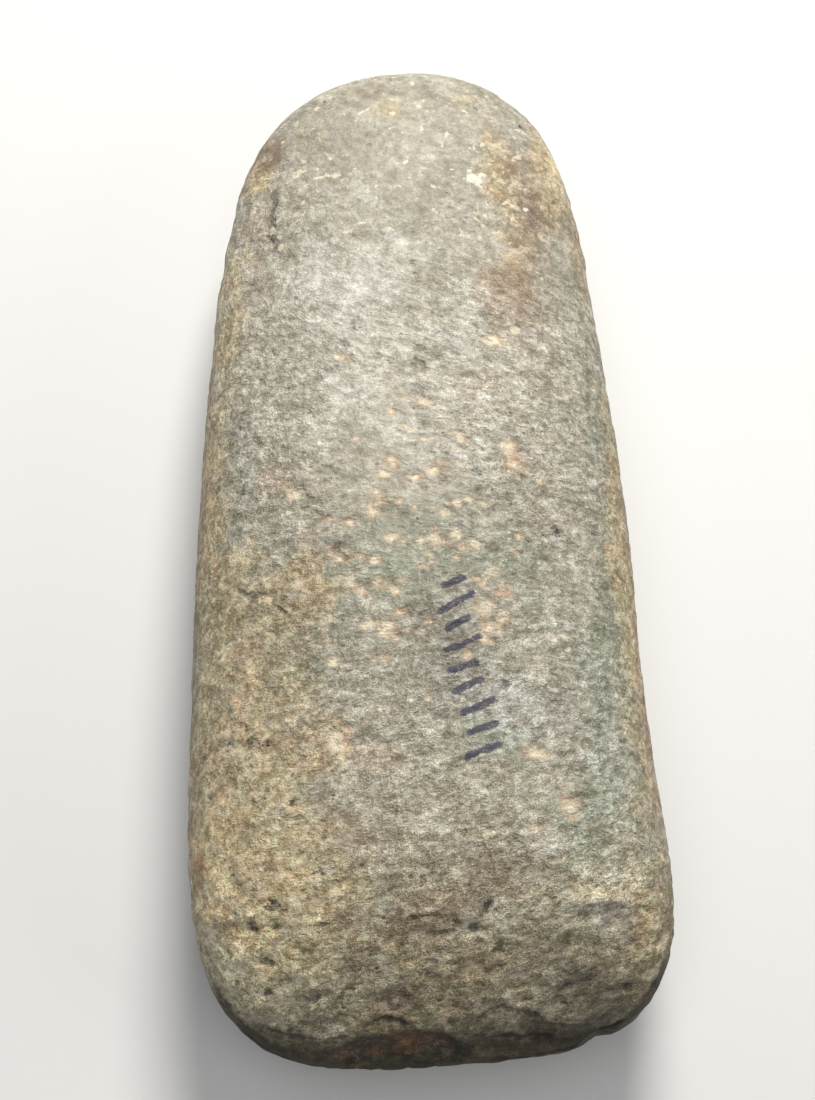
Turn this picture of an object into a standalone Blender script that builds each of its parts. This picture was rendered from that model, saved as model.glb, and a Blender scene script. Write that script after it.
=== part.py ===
"""Polished stone axe head, lying on one of its two broad faces.

+Y runs from the worn cutting edge to the narrow butt, +X across the sides and +Z up through the broad faces.
The origin is at the middle of the ground it covers, on the flat that it rests on.
"""
import math

import bmesh
import bpy
import numpy as np
from mathutils import Euler, Matrix, Vector

# Driving sizes, in metres
length = 0.150  # worn cutting edge to butt
waist_width = 0.0614  # across the sides at half length
thickness = 0.040  # between the broad faces at the thickest place
edge_thickness = 0.011  # of the blunted cutting edge
butt_thickness = 0.030  # of the butt, before its end is rounded
bevel_length = 0.033  # over which both faces run down to the cutting edge
rest_depth = 0.0009  # taken off the underside for the flat that it rests on
face_unevenness = 0.00025  # of the hand-ground broad faces

# Width along each side at five equal steps from cutting edge to butt, as shares of the waist's,
# before both ends are rounded off
left_side = (1.34, 1.114, 1.006, 0.97, 1.288)
right_side = (1.368, 1.042, 0.996, 1.023, 1.478)

# How square each rounding is: 2 is an ellipse, more is squarer
edge_corners = 3.5  # of the plan at the cutting edge
butt_corners = 2.12  # of the plan at the butt
cross_section = 2.3
edge_profile = 3.5  # of the cutting edge, seen from the side
butt_profile = 2.3  # of the butt, seen from the side

thickest_at = 0.42  # share of the length, from the cutting edge
edge_skew = 0.01  # slope of the cutting edge across the axe
butt_skew = 0.06  # slope of the butt across the axe

mesh_cuts = (22, 44, 16)  # faces along X, Y and Z of the block that is shaped into the axe

# Flakes lost in use and since. Each scar is a scoop with its place on the axe's surface as shares of half the
# waist width, length and thickness from the middle, its half-axes as shares of the thickness, and its turn in degrees
flake_scars = {
    "edge_middle": ((-0.195, -1.035, 0.305), (0.365, 0.168, 0.168), (0, 0, 0)),
    "edge_step": ((0.30, -0.970, 0.205), (0.150, 0.112, 0.034), (37, 0, -3)),
    "edge_corner": ((0.666, -1.003, 0.0), (0.133, 0.075, 0.170), (0, 0, 20)),
    "bevel_shoulder": ((0.73, -0.828, 0.500), (0.200, 0.130, 0.024), (24, 13, -4)),
    "butt_corner": ((0.668, 0.927, 0.200), (0.130, 0.072, 0.130), (0, 0, -44)),
    "edge_underside": ((-0.30, -0.980, -0.235), (0.230, 0.125, 0.038), (-40, 0, 4)),
}
scar_segments = 32


def eased(share):
    """0 to 1 with a soft start and a soft end."""
    share = np.clip(share, 0.0, 1.0)
    return share * share * (3.0 - 2.0 * share)


def curve_through(values, along):
    """A natural cubic spline through values at equal steps, read at along, from 0 to 1."""
    values = np.array(values)
    last = len(values) - 1
    system = np.eye(last + 1)
    bends = np.zeros(last + 1)
    for i in range(1, last):
        system[i, i - 1 : i + 2] = (1.0, 4.0, 1.0)
        bends[i] = 6.0 * (values[i - 1] - 2.0 * values[i] + values[i + 1])
    bends = np.linalg.solve(system, bends)
    step = np.clip(np.floor(along * last), 0, last - 1).astype(int)
    after = along * last - step
    before = 1.0 - after
    return (
        before * values[step]
        + after * values[step + 1]
        + (before**3 - before) * bends[step] / 6.0
        + (after**3 - after) * bends[step + 1] / 6.0
    )


def half_thickness(along):
    """Half the thickness of the un-rounded body, at a share of the length from the cutting edge."""
    into_bevel = np.clip(along * length / bevel_length, 0.0, 1.0)
    body = edge_thickness + (thickness - edge_thickness) * (1.0 - (1.0 - into_bevel) ** 2)
    to_butt = eased((along - thickest_at) / (1.0 - thickest_at))
    return (body + (butt_thickness - thickness) * to_butt) / 2.0


def unevenness(across, along):
    """Broad swells and hollows that hand grinding leaves, from -1 to 1."""
    turn = 2.0 * math.pi
    return (
        0.45 * np.sin(turn * (1.3 * along + 0.35 * across) + 0.8)
        + 0.35 * np.sin(turn * (2.2 * along - 0.55 * across) + 2.1)
        + 0.20 * np.sin(turn * (3.4 * along + 0.90 * across) + 4.0)
    )


def axe_surface(block):
    """Points on the axe for points on the surface of a block from -1 to 1: the block's directions are
    rounded into a squared-off ellipsoid, which then takes the axe's width and thickness along its length."""
    x, y, z = block.T
    corners = edge_corners + (butt_corners - edge_corners) * eased((y + 1.0) / 2.0)
    plan = (np.abs(x) ** corners + np.abs(y) ** corners) ** (1.0 / corners)
    lengthways = y * y / np.maximum(x * x + y * y, 1e-9) * eased(np.abs(y))
    end_profile = np.where(y < 0.0, edge_profile, butt_profile)
    rounding = cross_section + (end_profile - cross_section) * lengthways
    size = (plan**rounding + np.abs(z) ** rounding) ** (1.0 / rounding)
    across, forward, upward = (block / size[:, None]).T

    along = (forward + 1.0) / 2.0
    side = np.where(across < 0.0, curve_through(left_side, along), curve_through(right_side, along))
    axe_x = across * side * waist_width / 2.0
    skew = edge_skew * eased(-forward) + butt_skew * eased(forward)
    axe_y = forward * length / 2.0 + skew * axe_x
    axe_z = upward * (half_thickness(along) + face_unevenness * unevenness(across, along))
    return np.stack([axe_x, axe_y, axe_z], axis=1)


def start_scene():
    for old in list(bpy.data.objects):
        bpy.data.objects.remove(old)


def new_collection(name):
    made = bpy.data.collections.new(name)
    bpy.context.scene.collection.children.link(made)
    return made


def stone_material():
    material = bpy.data.materials.new("green_stone")
    material.use_nodes = True
    shader = material.node_tree.nodes["Principled BSDF"]
    shader.inputs["Base Color"].default_value = (0.300, 0.275, 0.205, 1.0)
    shader.inputs["Roughness"].default_value = 0.6
    shader.inputs["Metallic"].default_value = 0.0
    return material


def divided_block(mesh):
    """A cube from -1 to 1 with its edges cut evenly along each axis."""
    bmesh.ops.create_cube(mesh, size=2.0)
    for axis, faces in enumerate(mesh_cuts):
        lengthways = [
            edge for edge in mesh.edges if abs(edge.verts[0].co[axis] - edge.verts[1].co[axis]) > 0.5
        ]
        bmesh.ops.subdivide_edges(mesh, edges=lengthways, cuts=faces - 1, use_grid_fill=True)


def settle(mesh):
    """Cuts the underside flat at Z = 0 and brings the axe's middle over the origin.
    Returns where the middle of the un-cut body has gone."""
    level = rest_depth - thickness / 2.0
    everything = mesh.verts[:] + mesh.edges[:] + mesh.faces[:]
    cut = bmesh.ops.bisect_plane(
        mesh, geom=everything, plane_co=(0.0, 0.0, level), plane_no=(0.0, 0.0, -1.0), clear_outer=True
    )
    rim = [part for part in cut["geom_cut"] if isinstance(part, bmesh.types.BMEdge)]
    bmesh.ops.contextual_create(mesh, geom=rim)
    across = [corner.co.x for corner in mesh.verts]
    lengthways = [corner.co.y for corner in mesh.verts]
    middle = Vector((min(across) + max(across), min(lengthways) + max(lengthways), 2.0 * level)) / -2.0
    bmesh.ops.translate(mesh, verts=mesh.verts[:], vec=middle)
    return middle


def make_axe(collection):
    mesh = bmesh.new()
    divided_block(mesh)
    block = np.array([corner.co[:] for corner in mesh.verts])
    for corner, place in zip(mesh.verts, axe_surface(block)):
        corner.co = place
    middle = settle(mesh)
    bmesh.ops.recalc_face_normals(mesh, faces=mesh.faces[:])
    data = bpy.data.meshes.new("axe_head")
    mesh.to_mesh(data)
    mesh.free()
    axe = bpy.data.objects.new("axe_head", data)
    collection.objects.link(axe)
    data.materials.append(stone_material())
    return axe, middle


def make_scoop(name, location, half_axes, turn, collection):
    """An ellipsoid cutter, with its size in its mesh."""
    mesh = bmesh.new()
    bmesh.ops.create_uvsphere(mesh, u_segments=scar_segments, v_segments=scar_segments // 2, radius=1.0)
    bmesh.ops.transform(mesh, matrix=Matrix.Diagonal(Vector(half_axes) * thickness).to_4x4(), verts=mesh.verts[:])
    data = bpy.data.meshes.new(name)
    mesh.to_mesh(data)
    mesh.free()
    scoop = bpy.data.objects.new(name, data)
    scoop.location = location
    scoop.rotation_euler = Euler([math.radians(angle) for angle in turn])
    scoop.hide_render = True
    scoop.display_type = "WIRE"
    collection.objects.link(scoop)
    return scoop


def strike_flakes(axe, middle, collection):
    reach = Vector((waist_width, length, thickness)) / 2.0
    for name, (place, half_axes, turn) in flake_scars.items():
        scar = axe.modifiers.new(name, "BOOLEAN")
        scar.operation = "DIFFERENCE"
        scar.solver = "EXACT"
        location = middle + Vector(place) * reach
        scar.object = make_scoop("scoop_" + name, location, half_axes, turn, collection)


def main():
    start_scene()
    axe, middle = make_axe(new_collection("stone_axe"))
    strike_flakes(axe, middle, new_collection("cutters"))
    axe.data.shade_smooth()


main()
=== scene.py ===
import itertools
import math
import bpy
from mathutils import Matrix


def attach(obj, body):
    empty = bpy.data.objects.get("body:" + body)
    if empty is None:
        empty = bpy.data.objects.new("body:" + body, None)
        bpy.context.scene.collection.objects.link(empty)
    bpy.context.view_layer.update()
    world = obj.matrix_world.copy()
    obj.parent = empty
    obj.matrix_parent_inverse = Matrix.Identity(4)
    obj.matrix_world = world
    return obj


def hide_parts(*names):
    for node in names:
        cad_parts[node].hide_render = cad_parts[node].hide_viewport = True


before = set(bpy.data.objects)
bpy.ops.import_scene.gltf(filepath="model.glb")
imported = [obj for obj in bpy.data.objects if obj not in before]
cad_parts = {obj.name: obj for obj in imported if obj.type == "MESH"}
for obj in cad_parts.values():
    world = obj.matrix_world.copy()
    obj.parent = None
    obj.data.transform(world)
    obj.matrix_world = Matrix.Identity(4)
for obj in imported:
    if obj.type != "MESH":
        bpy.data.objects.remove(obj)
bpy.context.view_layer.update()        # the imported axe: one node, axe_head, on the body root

from types import SimpleNamespace

import bpy
import numpy as np
from mathutils import Euler, Vector

mm = 0.001
print("stage: frame loaded")

# The camera and the room come first. The photo looks down on the axe from its worn edge's side.

camera = dict(azimuth=-3.45, elevation=70.0, distance=0.3064, target=(-0.0002, -0.0023, 0.0181), lens=70.0)

room = dict(
    floorSize=12.0,
    floorColour=(0.55, 0.545, 0.535),
    floorRoughness=0.9,
    worldColour=(0.92, 0.96, 1.0),
    worldStrength=0.15,
    # azimuth and elevation of each light seen from the axe, and its distance and size in metres
    lights=dict(
        key=dict(
            azimuth=166.0, elevation=50.0, distance=0.52, size=0.2, watts=4.1, colour=(1.0, 0.975, 0.93)
        ),
        top=dict(
            azimuth=-22.0, elevation=78.0, distance=0.9, size=0.7, watts=3.5, colour=(0.97, 0.98, 1.0)
        ),
        side=dict(
            azimuth=68.0, elevation=32.0, distance=0.8, size=0.4, watts=1.3, colour=(1.0, 0.98, 0.95)
        ),
    ),
)


def outward(azimuth, elevation):
    # the direction from the axe to something at an azimuth, 0 on the worn edge's side, and an elevation
    turn, rise = math.radians(azimuth), math.radians(elevation)
    return Vector((math.sin(turn) * math.cos(rise), -math.cos(turn) * math.cos(rise), math.sin(rise)))


def aim(thing, azimuth, elevation, distance, target):
    # puts a camera or a light at a distance from the target and turns its -Z to it
    back = outward(azimuth, elevation)
    thing.location = Vector(target) + back * distance
    thing.rotation_euler = (-back).to_track_quat("-Z", "Y").to_euler()
    bpy.context.scene.collection.objects.link(thing)


def makeCamera():
    data = bpy.data.cameras.new("photoCamera")
    data.lens = camera["lens"]
    data.sensor_width = 36.0
    data.clip_start = 0.01
    thing = bpy.data.objects.new("photoCamera", data)
    aim(thing, camera["azimuth"], camera["elevation"], camera["distance"], camera["target"])
    bpy.context.scene.camera = thing


def makeRoom():
    world = bpy.data.worlds.new("studio")
    bpy.context.scene.world = world
    world.use_nodes = True
    backdrop = world.node_tree.nodes["Background"]
    backdrop.inputs["Color"].default_value = (*room["worldColour"], 1.0)
    backdrop.inputs["Strength"].default_value = room["worldStrength"]
    for name, light in room["lights"].items():
        data = bpy.data.lights.new(name, "AREA")
        data.shape = "DISK"
        data.size = light["size"]
        data.energy = light["watts"]
        data.color = light["colour"]
        lamp = bpy.data.objects.new(name, data)
        aim(lamp, light["azimuth"], light["elevation"], light["distance"], camera["target"])
    half = room["floorSize"] / 2
    corners = [(-half, -half, 0), (half, -half, 0), (half, half, 0), (-half, half, 0)]
    data = bpy.data.meshes.new("floor")
    data.from_pydata(corners, [], [(0, 1, 2, 3)])
    floor = bpy.data.objects.new("floor", data)
    bpy.context.scene.collection.objects.link(floor)
    paper = bpy.data.materials.new("palePaper")
    paper.use_nodes = True
    shader = paper.node_tree.nodes["Principled BSDF"]
    shader.inputs["Base Color"].default_value = (*room["floorColour"], 1.0)
    shader.inputs["Roughness"].default_value = room["floorRoughness"]
    data.materials.append(paper)


makeCamera()
makeRoom()
bpy.context.scene.view_settings.view_transform = "Standard"
print("stage: camera and studio")

# The axe. Its form is the solid's: the same formula and values, on a finer grid.

axe = dict(
    length=0.150,
    waistWidth=0.0614,
    thickness=0.040,
    edgeThickness=0.011,
    buttThickness=0.030,
    bevelLength=0.033,
    restDepth=0.0009,
    unevenness=0.00025,
    leftSide=(1.34, 1.114, 1.006, 0.97, 1.288),
    rightSide=(1.368, 1.042, 0.996, 1.023, 1.478),
    edgeCorners=3.5,
    buttCorners=2.12,
    crossSection=2.3,
    edgeProfile=3.5,
    buttProfile=2.3,
    thickestAt=0.42,
    edgeSkew=0.01,
    buttSkew=0.06,
    # the grids' steps across, along and through, the block's width for its height, the share of the length
    # where its end faces start, and how much closer its lines lie at the worn edge than at the butt
    grid=(106, 272, 50),
    blockWidth=1.5,
    blockEnds=0.95,
    crowding=0.24,
)


def eased(share):
    # 0 to 1 with a soft start and end: three squares less two cubes
    share = np.clip(share, 0.0, 1.0)
    return share * share * (3.0 - 2.0 * share)


def curveThrough(values, along):
    # the natural cubic spline through values at equal steps
    values = np.array(values)
    last = len(values) - 1
    system = np.eye(last + 1)
    bends = np.zeros(last + 1)
    for i in range(1, last):
        system[i, i - 1 : i + 2] = (1.0, 4.0, 1.0)
        bends[i] = 6.0 * (values[i - 1] - 2.0 * values[i] + values[i + 1])
    bends = np.linalg.solve(system, bends)
    step = np.clip(np.floor(along * last), 0, last - 1).astype(int)
    after = along * last - step
    before = 1.0 - after
    return (
        before * values[step]
        + after * values[step + 1]
        + (before**3 - before) * bends[step] / 6.0
        + (after**3 - after) * bends[step + 1] / 6.0
    )


def halfThickness(along):
    # the bevel is a parabola up to full thickness, and the back half thins to the butt with an eased slope
    intoBevel = np.clip(along * axe["length"] / axe["bevelLength"], 0.0, 1.0)
    body = axe["edgeThickness"] + (axe["thickness"] - axe["edgeThickness"]) * (1.0 - (1.0 - intoBevel) ** 2)
    toButt = eased((along - axe["thickestAt"]) / (1.0 - axe["thickestAt"]))
    return (body + (axe["buttThickness"] - axe["thickness"]) * toButt) / 2.0


def handGround(across, along):
    # three long waves, from -1 to 1
    turn = 2.0 * math.pi
    return (
        0.45 * np.sin(turn * (1.3 * along + 0.35 * across) + 0.8)
        + 0.35 * np.sin(turn * (2.2 * along - 0.55 * across) + 2.1)
        + 0.20 * np.sin(turn * (3.4 * along + 0.90 * across) + 4.0)
    )


def axeSurface(block):
    # each direction to a block's surface is divided by its squared-off ellipsoid's size, and the result
    # takes the axe's width and thickness at its place along the length
    x, y, z = block.T
    corners = axe["edgeCorners"] + (axe["buttCorners"] - axe["edgeCorners"]) * eased((y + 1.0) / 2.0)
    plan = (np.abs(x) ** corners + np.abs(y) ** corners) ** (1.0 / corners)
    lengthways = y * y / np.maximum(x * x + y * y, 1e-9) * eased(np.abs(y))
    endProfile = np.where(y < 0.0, axe["edgeProfile"], axe["buttProfile"])
    rounding = axe["crossSection"] + (endProfile - axe["crossSection"]) * lengthways
    size = (plan**rounding + np.abs(z) ** rounding) ** (1.0 / rounding)
    across, forward, upward = (block / size[:, None]).T
    along = (forward + 1.0) / 2.0
    left, right = curveThrough(axe["leftSide"], along), curveThrough(axe["rightSide"], along)
    placeX = across * np.where(across < 0.0, left, right) * axe["waistWidth"] / 2.0
    skew = axe["edgeSkew"] * eased(-forward) + axe["buttSkew"] * eased(forward)
    placeY = forward * axe["length"] / 2.0 + skew * placeX
    placeZ = upward * (halfThickness(along) + axe["unevenness"] * handGround(across, along))
    return np.stack([placeX, placeY, placeZ], axis=1)


def blockFaces(counts):
    # six grids of two parameters, each a face of a block, welded at their shared edges. The steps are even
    # once divided by the surface's rounded size, and the lines across are bowed to come out straight. The
    # points are drawn in to a cube from -1 to 1.
    shares = [np.linspace(-1.0, 1.0, count + 1) for count in counts]
    width, rounding = axe["blockWidth"], axe["crossSection"]
    across = shares[0] * width / (1.0 + width**rounding) ** (1.0 / rounding)
    upward = shares[2] / (1.0 + width**rounding) ** (1.0 / rounding)
    along = (shares[1] - axe["crowding"] * (1.0 - shares[1] ** 2)) * axe["blockEnds"]
    profile = np.where(along < 0.0, axe["edgeProfile"], axe["buttProfile"])
    lines = (
        across / (1.0 - np.abs(across) ** rounding) ** (1.0 / rounding),
        along / (1.0 - np.abs(along) ** profile) ** (1.0 / profile),
        upward / (1.0 - np.abs(upward) ** rounding) ** (1.0 / rounding) * width,
    )
    points, faces, start = [], [], 0
    for axis, sign in itertools.product(range(3), (-1.0, 1.0)):
        first, second = (axis + 1) % 3, (axis + 2) % 3
        if sign < 0:
            first, second = second, first
        u, v = lines[first], lines[second]
        grid = np.empty((len(u), len(v), 3))
        grid[..., axis] = lines[axis][-1 if sign > 0 else 0]
        grid[..., first] = u[:, None]
        grid[..., second] = v[None, :]
        index = start + np.arange(grid[..., 0].size).reshape(len(u), len(v))
        quads = np.stack([index[:-1, :-1], index[1:, :-1], index[1:, 1:], index[:-1, 1:]], axis=-1)
        points.append(grid.reshape(-1, 3))
        faces.append(quads.reshape(-1, 4))
        start += grid[..., 0].size
    points, faces = np.concatenate(points), np.concatenate(faces)
    first, welded = np.unique(np.round(points, 6), axis=0, return_index=True, return_inverse=True)[1:]
    points = points[first]
    x, y, z = points.T
    profile = np.where(y < 0.0, axe["edgeProfile"], axe["buttProfile"])
    bowed = (np.abs(x) ** profile + np.abs(z) ** profile) ** (1.0 / profile)
    wall = np.maximum(np.abs(x) / width, np.abs(z))
    points[:, 1] *= np.where(wall > 0.0001, bowed / np.maximum(wall, 0.0001), 1.0)
    return points / np.abs(points).max(axis=1, keepdims=True), welded.reshape(-1)[faces]


def outwardNormals(points, faces):
    # each face's area vector, added up at its corners and brought to length 1
    a, b, c, d = (points[faces[:, k]] for k in range(4))
    area = np.cross(c - a, d - b)
    total = np.stack(
        [np.bincount(faces.reshape(-1), np.repeat(area[:, k], 4), len(points)) for k in range(3)], axis=1
    )
    return total / np.linalg.norm(total, axis=1, keepdims=True)


def softNoise(points, size, seed):
    # random values at the corners of cells of a size, blended with eased weights, from -1 to 1
    table = np.random.default_rng(seed).uniform(-1.0, 1.0, (32, 32, 32))
    place = points / size
    cell = np.floor(place).astype(int)
    part = eased(place - cell)
    total = np.zeros(len(points))
    for corner in itertools.product((0, 1), repeat=3):
        index = (cell + corner) % 32
        weight = np.prod(np.where(corner, part, 1.0 - part), axis=1)
        total += weight * table[index[:, 0], index[:, 1], index[:, 2]]
    return total


block, quads = blockFaces(axe["grid"])
skin = axeSurface(block)
low, high = skin.min(axis=0), skin.max(axis=0)
lift = axe["thickness"] / 2 - axe["restDepth"]
middle = np.array([-(low[0] + high[0]) / 2, -(low[1] + high[1]) / 2, lift])
skin += middle
normals = outwardNormals(skin, quads)
print("stage: axe form,", len(skin), "points,", 2 * len(quads), "triangles")


# What the stone lost: flake scars, pits and the grain's low relief. From here on places are in mm on the
# finished axe, except the scars'.

scars = dict(
    # the solid's scoops: place as shares of half the waist width, length and thickness, half-axes as shares
    # of the thickness, turn in degrees
    scoops=dict(
        edgeMiddle=((-0.195, -1.035, 0.305), (0.365, 0.168, 0.168), (0, 0, 0)),
        edgeStep=((0.30, -0.970, 0.205), (0.150, 0.112, 0.034), (37, 0, -3)),
        edgeCorner=((0.666, -1.003, 0.0), (0.133, 0.075, 0.170), (0, 0, 20)),
        bevelShoulder=((0.73, -0.828, 0.500), (0.200, 0.130, 0.024), (24, 13, -4)),
        buttCorner=((0.668, 0.927, 0.200), (0.130, 0.072, 0.130), (0, 0, -44)),
        edgeUnderside=((-0.30, -0.980, -0.235), (0.230, 0.125, 0.038), (-40, 0, 4)),
    ),
    # the ones whose faces are painted dark, for dirt and painted shade
    soiled=("edgeMiddle", "edgeCorner", "edgeUnderside"),
    # how far their rims wander and the size of the waves, in metres
    raggedness=0.00045,
    raggedSize=0.0026,
)


def strikeScars(points, outwardDirection):
    # how far a point inside a scoop has to go in, against its normal, to reach the scoop's far wall: the
    # larger root of the line's quadratic with the ellipsoid. Also how deep inside a scoop each point lies,
    # from 0 at the rim, for the ones painted dark, for dirt and painted shade, and the others.
    depth = np.zeros(len(points))
    inside = {True: np.full(len(points), -1.0), False: np.full(len(points), -1.0)}
    reach = np.array([axe["waistWidth"], axe["length"], axe["thickness"]]) / 2
    ragged = scars["raggedness"] * np.stack(
        [softNoise(points, scars["raggedSize"], seed) for seed in (21, 22, 23)], axis=1
    )
    for name, (place, halfAxes, turn) in scars["scoops"].items():
        turned = np.array(Euler([math.radians(angle) for angle in turn]).to_matrix())
        scale = np.array(halfAxes) * axe["thickness"]
        start = (points + ragged - middle - np.array(place) * reach) @ turned / scale
        line = -outwardDirection @ turned / scale
        a, b, c = (line * line).sum(1), (start * line).sum(1), (start * start).sum(1) - 1.0
        root = (-b + np.sqrt(np.maximum(b * b - a * c, 0.0))) / a
        depth = np.maximum(depth, np.where(c < 0.0, root, 0.0))
        soiled = name in scars["soiled"]
        inside[soiled] = np.maximum(inside[soiled], -c)
    return depth, inside[True], inside[False]


# Thin ledges where flakes ended: knots of x and y, how far the stone drops on the worn edge's side of the
# line, and over what distance it comes back.
ledges = (
    (((-9.9, -70.2), (-8.2, -69.1), (-6.3, -69.0), (-4.6, -69.7), (-3.0, -70.9)), 0.50, 1.6),
    (((5.2, -69.9), (6.6, -69.0), (8.4, -68.8), (10.3, -69.4), (12.2, -69.7), (14.0, -70.9)), 1.10, 2.2),
    (((19.6, -57.4), (21.4, -57.1), (23.0, -57.3), (25.6, -57.2), (28.4, -57.6)), 0.38, 2.6),
    (((14.8, -71.2), (16.8, -71.5), (19.4, -71.2), (21.8, -70.2)), 0.30, 1.2),
    (
        ((3, -71.8), (6.5, -72.4), (9.1, -72.7), (13.7, -73), (17.2, -73), (20.4, -72.2), (22.6, -71.6)),
        0.7,
        1.4,
    ),
    (((-23.0, -69.2), (-19.4, -70.6), (-15.8, -71.3), (-12.6, -71.0), (-10.6, -71.6)), 0.50, 1.6),
    (((-3.4, -58.2), (-0.6, -59.4), (2.2, -59.3)), 0.25, 1.8),
    (((-24.6, -32.6), (-22.4, -34.4), (-19.6, -34.6)), 0.35, 1.6),
    (((-26.4, -56.6), (-23.4, -57.8), (-20.6, -56.4)), 0.35, 1.6),
)
# how ragged the ledges' lines are, and how far from a line's middle its points are looked for
ledgeEdge = dict(raggedness=0.22, raggedSize=1.6, reach=14.0)
# what a distance says where nothing is near
farOff = 4.0


def cutLedges(points, up):
    # the drop fades with the distance. Also gives the distance in mm on the dropped side, for the painted
    # shadow under the ledges.
    depth, distance = np.zeros(len(points)), np.full(len(points), farOff)
    ragged = np.stack([softNoise(points, ledgeEdge["raggedSize"] * mm, seed) for seed in (24, 25)], axis=1)
    flat = points[:, :2] / mm + ledgeEdge["raggedness"] * ragged
    for knots, drop, fade in ledges:
        knots = np.array(knots)
        offMiddle = np.abs(flat - knots.mean(axis=0)).max(axis=1)
        near = np.flatnonzero((offMiddle < ledgeEdge["reach"]) & (up > 0.1))
        away, below = np.full(len(near), np.inf), np.zeros(len(near), dtype=bool)
        for start, end in zip(knots[:-1], knots[1:]):
            way = end - start
            part = np.clip((flat[near] - start) @ way / (way @ way), 0.0, 1.0)
            gap = flat[near] - start - part[:, None] * way
            length = np.linalg.norm(gap, axis=1)
            below = np.where(length < away, gap[:, 1] < 0.0, below)
            away = np.minimum(away, length)
        depth[near] = np.maximum(depth[near], np.where(below, drop * mm * np.exp(-away / fade), 0.0))
        distance[near] = np.minimum(distance[near], np.where(below, away, away * 3.0))
    return depth, distance


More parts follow.
